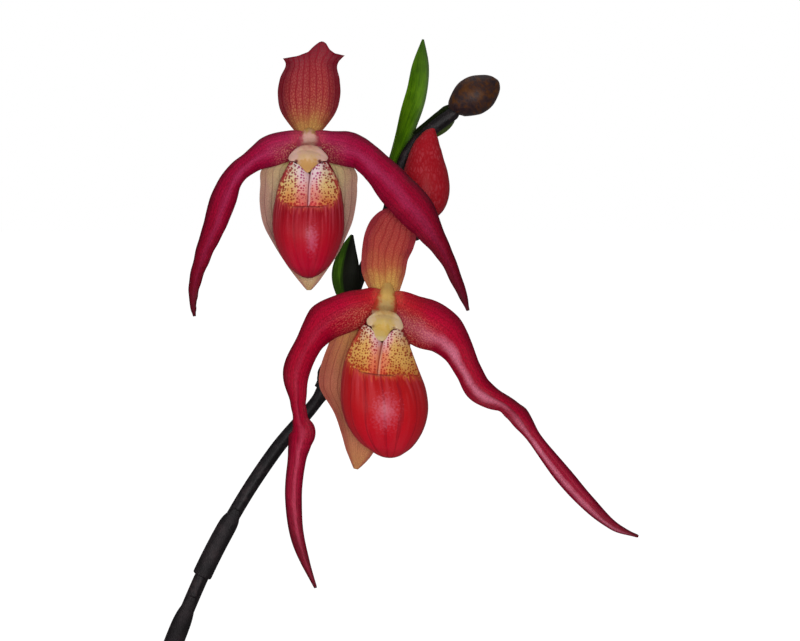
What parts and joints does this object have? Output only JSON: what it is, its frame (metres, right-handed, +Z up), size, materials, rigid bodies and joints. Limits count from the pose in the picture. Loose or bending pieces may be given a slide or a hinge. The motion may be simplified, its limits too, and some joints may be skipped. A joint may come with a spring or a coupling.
{
  "type": "potted orchid",
  "caption": "Slipper orchid in a pot of bark: strap leaves, one arching stem, open red flowers with long drooping petals and hollow pouches, and buds above them.",
  "frame": {"origin": "middle of the pot's flat foot, on the ground", "axes": "+Z up along the pot's axis, -Y towards which the flowers face, +X to the right of who looks at them"},
  "size_m": [0.4475, 0.2256, 0.5975],
  "materials": {
    "petal_red": "fine velvet, veined",
    "sepal_red": "satin, veined",
    "synsepal_tan": "satin, veined",
    "pouch_red": "waxy satin",
    "column_cream": "waxy",
    "stem_dark": "short hairs, satin",
    "bract_green": "satin",
    "leaf_green": "satin",
    "bud_dark": "short hairs, matt",
    "bark_brown": "rough bark",
    "pot_clay": "matt"
  },
  "bodies": {
    "root": {"bract_a": "bract_green", "bract_b": "stem_dark", "bract_c": "bract_green", "bract_d": "bract_green", "bud_c": "sepal_red", "bud_c_ovary": "stem_dark", "fan_1_leaf_1": "leaf_green", "fan_1_leaf_2": "leaf_green", "fan_1_leaf_3": "leaf_green", "fan_1_leaf_4": "leaf_green", "fan_1_leaf_5": "leaf_green", "fan_1_leaf_6": "leaf_green", "fan_2_leaf_1": "leaf_green", "fan_2_leaf_2": "leaf_green", "fan_2_leaf_3": "leaf_green", "fan_2_leaf_4": "leaf_green", "flower_a_column": "column_cream", "flower_a_dorsal_sepal": "sepal_red", "flower_a_left_petal": "petal_red", "flower_a_ovary": "stem_dark", "flower_a_pouch": "pouch_red", "flower_a_right_petal": "petal_red", "flower_a_synsepal": "synsepal_tan", "flower_b_column": "column_cream", "flower_b_dorsal_sepal": "sepal_red", "flower_b_left_petal": "petal_red", "flower_b_ovary": "stem_dark", "flower_b_pouch": "pouch_red", "flower_b_right_petal": "petal_red", "flower_b_synsepal": "synsepal_tan", "pot": "pot_clay", "potting_mix": "bark_brown", "scape": "stem_dark", "sheath_1": "stem_dark", "sheath_2": "stem_dark", "tip_bud": "bud_dark"}
  },
  "joints": []
}
